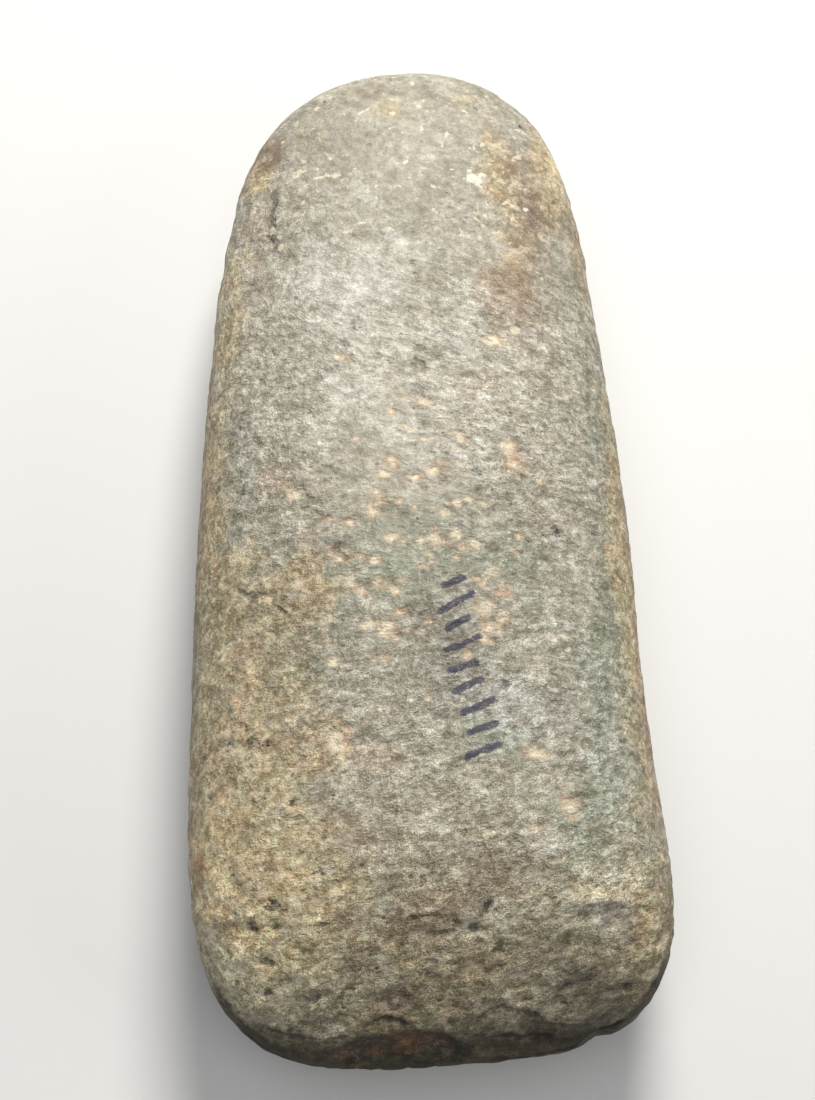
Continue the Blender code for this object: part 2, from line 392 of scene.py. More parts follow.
pits = dict(
    # named pits that the photo shows: x, y and radius
    pale=(
        (3.6, 2.6, 0.9), (3.2, 6.8, 0.6), (7.0, 6.3, 0.7), (-2.9, 1.6, 0.8), (1.0, 0.7, 0.6),
        (7.4, 2.1, 0.5), (-5.2, -4.2, 0.8), (-0.6, -8.6, 0.5), (1.4, -8.6, 0.5), (3.7, -8.2, 0.7),
        (6.3, -8.1, 0.6), (3.3, -7.0, 0.4), (-9.7, -9.9, 0.8), (-4.9, -10.4, 0.5), (-7.9, -13.4, 0.7),
        (-8.9, -12.5, 0.5), (-4.2, -14.6, 0.7), (-3.0, -15.5, 0.7), (-2.6, -18.7, 0.7), (-4.6, -20.3, 0.8),
        (-6.3, -20.0, 0.6), (-3.4, -21.8, 0.8), (8.6, -14.6, 0.6), (11.2, -16.7, 0.8), (8.5, -18.5, 1.0),
        (11.3, -19.5, 0.8), (8.1, -21.7, 0.8), (9.9, -20.6, 0.8), (-11.4, -24.1, 0.6), (-5.4, -24.9, 0.6),
        (-15.3, 0.6, 0.8), (18.5, 0.2, 0.6), (15.3, 2.8, 0.8), (13.8, 5.1, 0.7), (8.5, -3.5, 0.6),
        (9.6, -4.2, 0.5), (4.8, -4.4, 0.5), (-14.7, -13.0, 0.6), (-11.4, -34.6, 1.2), (18.0, -44.6, 1.1),
        (14.0, -48.0, 0.7), (14.5, -37.4, 0.8), (-8.3, 20.3, 0.6), (2.8, 11.9, 0.6), (13.6, 22.0, 0.9),
        (-8.0, -4.8, 0.5), (0.3, -3.6, 0.5), (-1.0, -3.0, 0.5), (2.0, -12.0, 0.4), (6.5, -24.5, 0.5),
    ),
    dark=(
        (-20.2, -55.0, 0.8), (-23.6, -57.3, 0.8), (-22.4, -41.8, 0.6), (-20.8, -58.7, 0.9),
        (-7.6, -63.7, 0.6), (-12.7, -67.2, 0.8), (-10.9, -65.5, 0.6), (2.7, -58.8, 0.8),
        (4.9, -59.6, 0.7), (8.3, -62.0, 0.9), (16.5, -62.3, 0.8), (6.7, -56.6, 0.6),
        (16.0, -68.4, 0.6), (16.8, -66.8, 0.6), (24.9, -67.0, 0.7), (-17.4, -38.7, 0.6),
        (-24.8, -61.6, 0.7), (-28.6, -40.6, 0.6), (-20.2, -52.5, 0.5), (-6.2, -58.1, 0.6),
        (-2.6, -57.9, 0.6), (-25.3, -33.5, 0.7), (-21.3, -34.2, 0.7), (27.6, -46.6, 0.5),
        (-17.6, 42.6, 0.8), (-16.8, 45.3, 0.5), (-17.4, 46.9, 0.6), (-16.6, 50.3, 0.5),
        (-16.9, 48.6, 0.4), (20.6, 62.3, 0.6), (9.6, 35.9, 0.5), (-5.6, 25.0, 0.8),
        (-2.2, 18.9, 0.7), (-4.4, 23.4, 0.5), (-22.2, -13.4, 0.7), (-17.4, -17.0, 0.6),
        (15.8, -8.3, 0.5), (20.0, -7.2, 0.8), (18.4, -7.6, 0.5), (-4.6, -61.0, 0.6),
        (-16.2, -66.2, 0.7), (20.8, -65.0, 0.5), (11.6, -67.8, 0.7), (2.4, -64.0, 0.5),
        (24.2, -57.2, 0.4), (30.4, -23.2, 0.8), (-26.6, -37.2, 0.5), (-24.2, -39.8, 0.5),
        (-27.6, -46.0, 0.5), (-26.0, -50.4, 0.6), (-21.8, -61.6, 0.8), (-27.0, -60.0, 0.6),
        (-23.0, -65.6, 0.8), (-25.8, -64.0, 0.5), (-17.4, -42.6, 0.5), (-14.8, -52.0, 0.6),
    ),
    # scattered pits: kind, how many, smallest and largest radius and depth, and where: x, y, half-width and
    # half-length of the patch, and the side, 1 the top, -1 the underside and 0 both
    scattered=(
        ("pale", 50, (0.25, 0.55), (0.10, 0.24), (1, -8, 14, 22), 1),
        ("plain", 90, (0.3, 0.75), (0.10, 0.24), (0, 2, 20, 34), 1),
        ("plain", 150, (0.3, 0.8), (0.10, 0.26), (0, -62, 32, 14), 1),
        ("dark", 45, (0.2, 0.5), (0.12, 0.30), (0, -62, 32, 12), 1),
        ("dark", 26, (0.2, 0.5), (0.12, 0.30), (-24, -48, 9, 24), 1),
        ("plain", 90, (0.3, 0.75), (0.08, 0.24), (-23, -42, 11, 26), 1),
        ("pale", 25, (0.3, 0.7), (0.08, 0.20), (-24, -42, 9, 24), 1),
        ("plain", 160, (0.35, 0.9), (0.08, 0.26), (0, 0, 34, 76), -1),
        ("pale", 40, (0.35, 0.8), (0.08, 0.22), (4, -6, 20, 34), -1),
        ("plain", 170, (0.3, 0.7), (0.05, 0.16), (0, 0, 40, 90), 0),
    ),
    # how much larger the named ones' clusters are, and their depth
    drawn=dict(pale=1.2, dark=1.0),
    namedDepth=0.55,
    # each pit is a cluster of overlapping bowls, of this share of its radius and this far apart
    bowls=4,
    bowlSize=(0.55, 0.85),
    apart=0.75,
    # each bowl is drawn out this many times along a line of this slope, falling to the right
    stretch=1.7,
    slope=0.42,
    raggedness=0.35,
    seed=29,
)


def streaks(y):
    # slope of the stone's grain across the axe, from falling to the right at the butt to rising at the edge
    return 0.10 + 6.0 * y + 30.0 * y * y


def sunkPits(points, outwardDirection):
    # a bowl's depth is 1 less the square of the distance over its radius, to the power of one and a half.
    # Gives the depth and the distance to the nearest pit of each kind, in radii.
    depth = np.zeros(len(points))
    nearest = {kind: np.full(len(points), farOff) for kind in ("pale", "dark", "plain")}
    ragged = 1.0 + pits["raggedness"] * softNoise(points, 0.9 * mm, 31)
    up = outwardDirection[:, 2]
    draw = np.random.default_rng(pits["seed"])
    grain = np.array([1.0, -pits["slope"], 0.0]) / math.hypot(1.0, pits["slope"])

    def sink(centre, radius, deep, kind):
        near = np.flatnonzero(np.abs(points - centre).max(axis=1) < 4.0 * radius)
        for size in draw.uniform(*pits["bowlSize"], pits["bowls"]):
            offset = draw.uniform(-1.0, 1.0, 3) * pits["apart"] * radius
            away = points[near] - centre - offset
            along = away @ grain
            square = (away * away).sum(1) - along * along * (1.0 - pits["stretch"] ** -2)
            distance = np.sqrt(np.maximum(square, 0.0)) / (radius * size) * ragged[near]
            nearest[kind][near] = np.minimum(nearest[kind][near], distance)
            bowl = deep * size * np.maximum(1.0 - distance * distance, 0.0) ** 1.5
            depth[near] = np.maximum(depth[near], bowl)

    for kind in ("pale", "dark"):
        for x, y, radius in pits[kind]:
            offTop = np.hypot(points[:, 0] - x * mm, points[:, 1] - y * mm) + np.where(up > 0.1, 0.0, 1.0)
            radius *= pits["drawn"][kind]
            sink(points[np.argmin(offTop)], radius * mm, pits["namedDepth"] * mm, kind)
    for kind, count, radii, depths, patch, side in pits["scattered"]:
        x, y, halfWidth, halfLength = (value * mm for value in patch)
        near = np.hypot((points[:, 0] - x) / halfWidth, (points[:, 1] - y) / halfLength)
        chance = np.clip(1.3 - near, 0.0, 1.0) * np.where(up * side >= 0.0, 1.0, 0.0)
        chosen = draw.choice(len(points), count, replace=False, p=chance / chance.sum())
        for index, size in zip(chosen, draw.uniform(0.0, 1.0, count) ** 2):
            radius = (radii[0] + (radii[1] - radii[0]) * size) * 1.3 * mm
            sink(points[index], radius, (depths[0] + (depths[1] - depths[0]) * size) * mm, kind)
    return depth, nearest


relief = dict(
    # the skin's unevenness, all of it inward: size in mm, height in mm and seed
    waves=((9.0, 0.11, 41), (4.0, 0.09, 42)),
    creases=((2.6, 0.08, 43), (1.5, 0.09, 44)),
    # how much rougher it is in places: x, y, half-width and half-length, side and how many times more
    rougher=(
        (0, -64, 36, 18, 1, 0.8),
        (-24, -45, 14, 30, 1, 0.7),
        (0, -16, 18, 28, 1, 0.35),
        (-26, 25, 6, 40, 1, 0.4),
        (0, -66, 34, 14, -1, 1.0),
        (10, 40, 16, 22, -1, 0.5),
        (0, 60, 30, 26, 0, -0.4),
    ),
    lowest=0.20,
)


def facing(up, side):
    # 1 on the top where side is 1, or on the underside where it is -1, eased across the flanks
    return eased(0.5 + 2.0 * side * up)


def patchWeight(points, up, x, y, halfWidth, halfLength, side):
    # 1 at a patch's middle, 0 outside it, eased, and only on its side of the axe, or on both for 0
    near = np.hypot((points[:, 0] - x * mm) / (halfWidth * mm), (points[:, 1] - y * mm) / (halfLength * mm))
    return eased(1.0 - near) * (facing(up, side) if side else 1.0)


def roughSkin(points, outwardDirection):
    # the sum of soft noise of four sizes, the two small ones folded at their middle into creases, times the
    # roughness of the place
    up = outwardDirection[:, 2]
    more = 1.0 + sum(patchWeight(points, up, *place) * times for *place, times in relief["rougher"])
    slope = streaks(points[:, 1])
    drawn = np.stack([points[:, 0] * 0.8, points[:, 1] + points[:, 0] * slope, points[:, 2]], axis=1)
    height = sum(high * mm * softNoise(drawn, size * mm, seed) for size, high, seed in relief["waves"])
    for size, high, seed in relief["creases"]:
        height += high * mm * (2.0 * np.abs(softNoise(drawn, size * mm, seed)) - 0.6)
    return np.maximum(relief["lowest"] * mm - height * more, 0.0), more


scarDepth, scarSoiledShaded, scarClean = strikeScars(skin, normals)
pitDepth, pitNear = sunkPits(skin, normals)
skinDepth, rougher = roughSkin(skin, normals)
ledgeDepth, ledgeDistance = cutLedges(skin, normals[:, 2])
shaped = skin - normals * (scarDepth + ledgeDepth + pitDepth + skinDepth)[:, None]
shaped[:, 2] = np.maximum(shaped[:, 2], 0.0)
print("stage: scars, pits and grain cut")

# Stains, bare patches and the pen's line, as values at the skin's points.

stains = dict(
    # x, y, half-width, half-length, side and strength of each patch
    ochre=(
        (-25, -42, 14, 32, 1, 0.95), (-15, -55, 16, 14, 1, 0.65), (-28, -12, 6.5, 34, 1, 0.42),
        (-13, -36, 11, 22, 1, 0.5), (-31, -46, 4, 28, 1, 0.6), (16, 52, 5, 14, 1, 0.9),
        (24, 55, 4, 14, 1, 1.0), (12, 66, 8, 5, 1, 0.45), (1, 64, 6, 4, 1, 0.4),
        (-19, 56, 4, 8, 1, 0.8), (-24, 35, 6, 28, 1, 0.7), (-11, 62, 7, 6, 1, 0.4),
        (29, 0, 4, 42, 1, 0.5), (26, -52, 6, 14, 1, 0.4), (20, -56, 11, 3, 1, 0.6),
        (0, -66, 32, 9, 1, 0.45), (17, 38, 6, 10, 1, 0.5), (-16, -14, 8, 14, 1, 0.35),
        (28, 38, 4, 20, 1, 0.4), (-28, 8, 8, 34, 1, 0.62), (-19, -14, 8, 20, 1, 0.35),
        (30, -25, 6, 55, 1, 0.65), (-29, 0, 5, 50, 1, 0.38), (-24, -16, 9, 12, 1, 0.45),
        (0, -60, 26, 12, 1, 0.25), (30, -64, 7, 14, 1, 1.0), (22, 44, 9, 26, 1, 0.42),
        (-2, -70, 12, 5, 1, 0.7), (-22, -62, 12, 10, 1, 0.3), (-13, -18, 7, 12, 1, 0.3),
        (14, 20, 16, 30, -1, 0.7), (-16, -40, 16, 26, -1, 0.6), (8, -58, 20, 12, -1, 0.5),
    ),
    brown=(
        (-4, -57, 18, 9, 1, 0.75), (9, -54, 14, 8, 1, 0.55), (-10, -46, 10, 12, 1, 0.5),
        (16, 29, 7, 12, 1, 0.4), (-22, 38, 6, 24, 1, 0.45), (-17, 46, 3, 8, 1, 0.5),
        (0, -66, 32, 10, 1, 0.4), (28, 46, 5, 14, 1, 0.35), (18, -58, 12, 6, 1, 0.4),
        (-18, 60, 6, 6, 1, 0.4), (-6, 30, 18, 24, -1, 0.8), (12, -50, 16, 18, -1, 0.7),
        (0, 70, 16, 8, -1, 0.5), (20, 44, 8, 26, 1, 0.9), (-18, 60, 9, 10, 1, 0.6),
        (2, 68, 14, 6, 1, 0.3),
    ),
    green=(
        (-2, -13, 19, 18, 1, 0.75), (10, -32, 13, 18, 1, 0.65), (23, -46, 12, 16, 1, 0.95),
        (25, -26, 9, 18, 1, 0.7), (-24, -6, 8, 22, 1, 0.5), (16, -12, 11, 16, 1, 0.5),
        (27, 18, 5, 30, 1, 0.5), (29, -14, 6, 40, 1, 0.75), (-14, -22, 9, 12, 1, 0.4),
        (-20, -50, 8, 12, 1, 0.35), (4, -8, 20, 34, -1, 0.7), (-24, 20, 8, 30, -1, 0.5),
    ),
    pink=(
        (16, 29, 8, 14, 1, 0.9), (18, 50, 7, 14, 1, 0.7), (-9, -48, 8, 8, 1, 0.5),
        (-20, 60, 6, 8, 1, 0.5), (15, 3, 6, 6, 1, 0.9), (-20, 46, 6, 14, 1, 0.6),
        (-19, 3, 6, 6, 1, 0.6), (-12, -6, 7, 7, 1, 0.5), (-6, -37, 7, 5, 1, 0.7),
        (18, -43, 6, 5, 1, 0.6), (12, 14, 9, 8, 1, 0.5), (-2, 14, 10, 8, 1, 0.3),
        (-26, -30, 6, 12, 1, 0.3), (0, 20, 14, 18, -1, 0.4),
    ),
    rust=(
        (31.5, -10, 3, 34, 0, 0.6), (31, -38, 4, 22, 0, 0.7), (-4, -73, 8, 4, 1, 0.9),
        (-31, -44, 4, 24, 0, 0.6), (24, 57, 3, 8, 1, 0.35), (28.5, 38, 4, 20, 0, 0.4),
        (8, -75, 5, 3, 0, 0.7), (-14, -74, 8, 3, 0, 0.4), (-2, -50, 8, 5, 1, 0.2),
    ),
    # dark dirt, and painted shade on the edge's own face, its corners and the bevel just above it
    grimeAndShade=(
        (0, -80, 44, 10, 0, 0.8), (27, -72, 10, 8, 0, 0.5), (-26, -73, 10, 8, 0, 0.5),
        (0, -66, 30, 12, -1, 0.5), (-28, 50, 5, 20, 0, 0.3), (21, -67, 14, 10, 1, 0.75),
        (-17, -69, 17, 8, 1, 0.55), (0, -68, 16, 8, 1, 0.35), (-20, -16, 8, 10, 1, 0.3),
        (-14, -5, 8, 8, 1, 0.2), (2, -24, 8, 10, 1, 0.25), (-20, -25, 10, 9, 1, 0.3),
        (25, 42, 6, 20, 1, 0.3),
    ),
    # lighter stone, and painted sheen on the upper middle and the butt, and painted light on the lit right
    # rim at the butt and on the lower flanks
    pale=(
        (0, 56, 18, 18, 1, 0.3), (-4, 30, 20, 24, 1, 0.9), (6, 6, 16, 14, 1, 0.6),
        (-8, 12, 12, 14, 1, 0.4), (3, -30, 14, 22, 1, 0.35), (20, -30, 12, 20, 1, 0.35),
        (-20, -56, 10, 8, 1, 0.3), (20, -58, 10, 5, 1, 0.5), (26, -45, 6, 24, 1, 0.4),
        (24, 56, 2.5, 8, 1, 0.9), (10, 18, 9, 13, 1, 0.7), (-6, 52, 16, 18, -1, 0.5),
        (24, -56, 8, 7, 1, 0.4), (-28, -52, 9, 15, 1, 0.3), (11, -32, 8, 10, 1, 0.5),
        (15, -50, 10, 7, 1, 0.5), (-28, 22, 7, 12, 1, 0.4), (-13, 38, 8, 10, 1, 0.3),
        (15, 30, 7, 9, 1, 0.3),
    ),
)

# how much stronger or weaker than evenCrispness the grain's light and dark are, in patches as above
evenCrispness = 1.5
crispness = (
    (28, -60, 12, 16, 1, 0.5), (0, -64, 36, 20, 1, 0.6), (0, 60, 32, 32, 0, -1.0),
    (-4, 22, 22, 34, 1, -0.5), (-2, -4, 20, 28, 1, -0.65), (-24, -25, 12, 40, 1, -0.4),
    (-20, -48, 18, 20, 1, -0.4), (0, 0, 40, 80, -1, -0.3), (-12, -58, 14, 16, 1, -0.25),
)

# how much lighter or darker the stone is painted in places, as the natural logarithm of its share of light:
# partly the stone's own tone, partly painted light on the bevel and the lower left flank and painted shade at
# the lower right corner and near the edge
shades = (
    (-23, -60, 17, 20, 1, 0.36), (1, -58, 11, 8, 1, 0.34), (23, -59, 10, 9, 1, 0.42),
    (9, 13, 9, 12, 1, 0.15), (14, -27, 6, 7, 1, 0.20), (4, 56, 34, 26, 1, -0.16),
    (-17, -24, 13, 16, 1, -0.10), (8, -25, 11, 12, 1, -0.22), (-1, -70, 9, 5, 1, -0.60),
    (-23, -68, 9, 5, 1, -0.18), (33, -61, 8, 14, 0, -0.68), (18, 52, 6, 14, 1, -0.12),
    (26, 55, 2.2, 9, 1, 0.40), (-7, -39, 6, 7, 1, 0.14), (11, -46, 8, 8, 1, -0.14),
    (-10, -69, 7, 6, 1, 0.20), (14, -72, 9, 2.2, 1, -0.35), (13, -76, 10, 3, 0, 0.35),
    (10, -69, 6, 4, 1, 0.34), (17, -51, 8, 8, 1, 0.16), (3, 58, 9, 16, 1, 0.12),
    (-12, 60, 10, 9, 1, -0.16), (20, -70, 6, 4, 1, -0.24), (-23, -73, 10, 7, 1, -0.30),
    (-29, -48, 7, 12, 1, 0.35), (-24, 26, 10, 14, 1, 0.14), (-30, -14, 8, 24, 1, -0.14),
    (-14, -10, 8, 8, 1, -0.16), (-14, -18, 8, 8, 1, -0.14), (-12, 38, 10, 12, 1, -0.12),
    (4, 38, 30, 14, 1, -0.08), (-28, -10, 6, 16, 1, -0.10), (19, -62, 8, 6, 1, -0.16),
    (22, 36, 9, 12, 1, -0.12), (6, -14, 12, 10, 1, -0.04), (20, 20, 8, 10, 1, 0.12),
    (20, -36, 9, 12, 1, -0.16), (0, -64, 24, 8, 1, -0.10), (-14, -37, 7, 7, 1, -0.12),
    (29, 5, 6, 12, 1, -0.12), (-13, -5, 6, 6, 1, 0.14), (18, 50, 9, 18, 1, -0.06),
)

# spots of x, y and radius
whiteSpots = (
    (12.8, 50.4, 0.8), (13.8, 50.9, 0.6), (11.9, 50.0, 0.5), (13.4, 49.3, 0.5), (12.2, 51.5, 0.4),
    (14.3, 50.0, 0.4), (12.5, 55.9, 0.5), (9.6, 51.9, 0.3), (-22.9, 43.1, 0.4), (20.0, 45.2, 0.4),
)
creamSpots = (
    (-7.0, 52.2, 0.6), (-5.5, 55.6, 0.5), (-4.6, 52.8, 0.4), (19.6, -22.3, 0.6), (19.9, -24.0, 0.4),
    (-11.2, -24.4, 0.7), (-29.4, -57.9, 0.9), (-25.3, -62.4, 0.9), (-24.6, -61.9, 0.5), (-19.5, -45.6, 0.8),
    (-17.9, -54.8, 0.7), (-3.4, -56.8, 0.7), (-7.5, -68.0, 0.8), (-5.6, -67.6, 0.6), (0.4, -70.0, 0.6),
    (-26.3, 23.0, 0.6), (1.6, 63.4, 0.6), (-8.0, 55.6, 0.5), (16.6, 23.4, 0.7), (-16.2, -64.8, 0.5),
    (6.4, 66.0, 0.4), (22.0, -61.0, 0.6), (11.6, -45.2, 0.4), (7.2, -48.4, 0.5),
)
# cream spots by chance: how many, smallest and largest radius, and the patch
strewnSpots = (
    (36, 0.3, 0.65, (-23, -50, 10, 26)),
    (22, 0.3, 0.5, (2, 48, 24, 26)),
    (16, 0.3, 0.5, (4, 16, 22, 22)),
)


def strewn(seed):
    # places and radii of the spots by chance, the small ones the most
    draw = np.random.default_rng(seed)
    for count, smallest, largest, (x, y, halfWidth, halfLength) in strewnSpots:
        for across, along, size in draw.uniform(-1.0, 1.0, (count, 3)):
            radius = smallest + (largest - smallest) * size * size
            yield x + across * halfWidth, y + along * halfLength, radius


def toSpots(points, up, spots):
    # distance to the nearest spot in radii, on the top only
    nearest = np.full(len(points), farOff)
    for x, y, radius in spots:
        away = np.hypot(points[:, 0] - x * mm, points[:, 1] - y * mm) / (radius * mm)
        np.minimum(nearest, away, out=nearest)
    return np.where(up > 0.05, nearest, farOff)


def toLines(points, up, lines):
    # distance in mm to the nearest of some lines, each a row of knots, on the top only
    nearest = np.full(len(points), farOff)
    flat = points[:, :2] / mm
    for knots in lines:
        knots = np.array(knots)
        for start, end in zip(knots[:-1], knots[1:]):
            way = end - start
            part = np.clip((flat - start) @ way / (way @ way), 0.0, 1.0)
            np.minimum(nearest, np.linalg.norm(flat - start - part[:, None] * way, axis=1), out=nearest)
    return np.where(up > 0.3, nearest, farOff)


# A row of plain slanting pen strokes across the middle of the axe: its ends, how many there are, half their
# length, their slant in degrees, and how far off their place and how bent they are.
pen = dict(
    first=(5.4, -14.6),
    last=(7.4, -37.4),
    strokes=9,
    halfLength=(1.5, 2.5),
    slant=(19.0, 26.0),
    astray=(0.8, 0.12),
    unsteady=0.12,
    seed=18,
)


def penStrokes():
    # each stroke is bent a little at its middle
    draw = np.random.default_rng(pen["seed"])
    for share in np.linspace(0.0, 1.0, pen["strokes"]):
        centre = np.array(pen["first"]) * (1.0 - share) + np.array(pen["last"]) * share
        centre += draw.uniform(-1.0, 1.0, 2) * pen["astray"]
        turn = math.radians(draw.uniform(*pen["slant"]))
        reach = draw.uniform(*pen["halfLength"]) * np.array([math.cos(turn), math.sin(turn)])
        bend = draw.uniform(-pen["unsteady"], pen["unsteady"], (3, 2))
        yield np.stack([centre - reach, centre, centre + reach]) + bend


# short dark cracks, painted shadow lines along two ledges' rims, and fine light scratches, as knots of x and
# y
cracksAndShadowLines = (
    ((-16.9, 51.8), (-16.6, 49.6), (-17.2, 46.9), (-16.9, 45.0)),
    ((-17.9, 43.8), (-16.9, 42.2), (-16.7, 40.2)),
    ((-23.4, -12.4), (-21.4, -13.7), (-20.0, -13.5)),
    ((5.9, -57.9), (6.9, -56.8)),
    ((-22.9, -33.5), (-20.8, -34.5)),
    ((-10.4, -8.9), (-9.0, -10.2)),
    # these two are painted shadow lines along the rims of the ledges at the edge
    ((8.6, -69.5), (10.6, -69.9), (12.7, -70.5)),
    ((-8.4, -69.4), (-6.4, -69.3), (-4.8, -70.0)),
    ((10.2, -28.4), (11.4, -28.9)),
    ((19.0, -6.6), (20.6, -7.6)),
    ((2.0, 18.6), (3.4, 17.6)),
    ((-21.6, -55.4), (-20.2, -55.2)),
)
scratches = (
    ((0.7, -12.6), (0.9, -14.8), (1.3, -16.8)),
    ((19.4, -21.2), (19.7, -23.4), (19.6, -24.8)),
    ((16.0, -16.4), (18.4, -18.4)),
    ((17.2, -15.2), (19.8, -17.0)),
    ((21.6, 10.4), (22.4, 6.4)),
    ((-14.6, 11.2), (-11.0, 7.6)),
    ((8.4, 41.2), (11.8, 38.6)),
    ((-20.4, -62.4), (-17.2, -64.4)),
)

up = normals[:, 2]


def addedUp(patches):
    # the patches' weights times their strengths, added up at each point of the skin
    return sum(patchWeight(skin, up, *place) * strength for *place, strength in patches)


# how far from the middle each zone starts and over what length it grows to its full strength
zones = dict(edgeFace=(70, 4), steepFace=(60, 6), dusk=(30, 34), ledges=(58, 8), groundButt=(26, 20))
# how strongly dirt and painted shade darken the edge's face, and how strong the painted shadow under the
# ledges is
edgeDirtAndShade = dict(onFace=1.1, inLedges=0.25, moreAtEdge=0.40)


def growing(distance, zone):
    # 0 up to where a zone starts, 1 where it has its full strength, eased between them
    start, length = zones[zone]
    return eased((distance - start) / length)


fields = {kind: addedUp(patches) for kind, patches in stains.items()}
fields.update(pitPale=pitNear["pale"], pitDark=pitNear["dark"], pitPlain=pitNear["plain"])
fields["spotWhite"] = toSpots(skin, up, whiteSpots)
fields["spotCream"] = toSpots(skin, up, (*creamSpots, *strewn(57)))
fields["penLine"] = toLines(skin, up, penStrokes())
fields["scratch"] = toLines(skin, up, scratches)
fields["crackAndShadowLine"] = toLines(skin, up, cracksAndShadowLines)
fields.update(soiled=scarSoiledShaded, chipped=scarClean, ledge=ledgeDistance, rougher=rougher)
# dirt and painted shade darken the edge's own face, below the bevel, and the steep faces near the worn edge
towardsEdge = -skin[:, 1] / mm
steep = eased((0.66 - up) / 0.20) * growing(towardsEdge, "steepFace")
fields["grimeAndShade"] += edgeDirtAndShade["onFace"] * np.maximum(growing(towardsEdge, "edgeFace"), steep)
fields["dusk"] = growing(towardsEdge, "dusk") * facing(up, 1)
fields["smooth"] = growing(-towardsEdge, "groundButt")
# painted light and shade, with some of the stone's own tone
fields["shade"] = addedUp(shades)
# the painted shadow under the ledges is weaker on the bevel's shoulder, at the right, than at the edge
fields["ledgeDirt"] = edgeDirtAndShade["inLedges"] + edgeDirtAndShade["moreAtEdge"] * growing(towardsEdge, "ledges")
fields["crispness"] = evenCrispness + addedUp(crispness)
print("stage: stains and pen strokes placed")


class Wire:
    # one output of a node. Sums written with it add their Math nodes to the tree
    def __init__(self, tree, socket=None):
        self.tree, self.socket = tree, socket

    def node(self, kind, settings=None, sockets=None, out=0):
        # settings go first, because some of them change which sockets there are
        made = self.tree.nodes.new(kind)
        for name, value in (settings or {}).items():
            setattr(made, name, value)
        for name, value in (sockets or {}).items():
            if isinstance(value, Wire):
                self.tree.links.new(value.socket, made.inputs[name])
            else:
                made.inputs[name].default_value = value
        return Wire(self.tree, made.outputs[out])

    def maths(self, how, *values):
        return self.node("ShaderNodeMath", {"operation": how}, dict(enumerate(values)))

    def __add__(self, other):
        return self.maths("ADD", self, other)

    __radd__ = __add__

    def __mul__(self, other):
        return self.maths("MULTIPLY", self, other)

    __rmul__ = __mul__

    def __sub__(self, other):
        return self.maths("SUBTRACT", self, other)

    def __rsub__(self, other):
        return self.maths("SUBTRACT", other, self)

    def between(self, low, high):
        # an eased step from 0 at low to 1 at high, or the other way where low is the larger
        return self.node(
            "ShaderNodeMapRange",
            {"interpolation_type": "SMOOTHSTEP"},
            {"Value": self, "From Min": low, "From Max": high},
        )

    def capped(self):
        return self.node("ShaderNodeClamp", {}, {"Value": self})

    def parts(self, kind="ShaderNodeSeparateXYZ"):
        return [self.node(kind, {}, {0: self}, out=k) for k in range(3)]

    def plain(self, colour):
        made = self.node("ShaderNodeRGB")
        made.socket.default_value = (*colour, 1.0)
        return made

    def tint(self, factor, colour, how="MIX"):
        # this colour with another mixed over it
        return self.node(
            "ShaderNodeMix",
            {"data_type": "RGBA", "blend_type": how, "clamp_factor": True},
            {0: factor, 6: self, 7: colour if isinstance(colour, Wire) else (*colour, 1.0)},
            out=2,
        )

    def field(self, name):
        return self.node("ShaderNodeAttribute", {"attribute_name": name}, out="Fac")

    def noise(self, place, size, detail=2.0, rough=0.5, out="Fac"):
        # size is the widest wave's, in metres
        return self.node(
            "ShaderNodeTexNoise",
            {"noise_dimensions": "3D"},
            {"Vector": place, "Scale": 1.0 / size, "Detail": detail, "Roughness": rough},
            out=out,
        )


# the stone's colours, as linear red, green and blue, and its roughness
stone = dict(
    base=(0.281, 0.260, 0.201),
    duskBase=(0.300, 0.262, 0.172),
    green=(0.203, 0.216, 0.156),
    tan=(0.402, 0.296, 0.158),
    olive=(0.338, 0.288, 0.160),
    lump=(0.620, 0.525, 0.360),
    brown=(0.170, 0.118, 0.070),
    pink=(0.350, 0.255, 0.180),
    # the dark of dirt and of painted shade at and near the edge's face
    grimeAndShade=(0.130, 0.110, 0.075),
    # pale specks and scratches, and the colour of the pale patches' painted sheen and light
    pale=(0.430, 0.415, 0.365),
    rosyPale=(0.480, 0.385, 0.290),
    cream=(0.720, 0.630, 0.460),
    salmon=(0.580, 0.330, 0.180),
    white=(0.600, 0.585, 0.500),
    hollow=(0.068, 0.056, 0.046),
    fleck=(0.580, 0.550, 0.430),
    rosyFleck=(0.580, 0.460, 0.350),
    # dark scar faces: dirt, with painted shade
    soiledFace=(0.046, 0.040, 0.026),
    rust=(0.190, 0.095, 0.040),
    ink=(0.030, 0.028, 0.060),
    roughness=0.58,
)


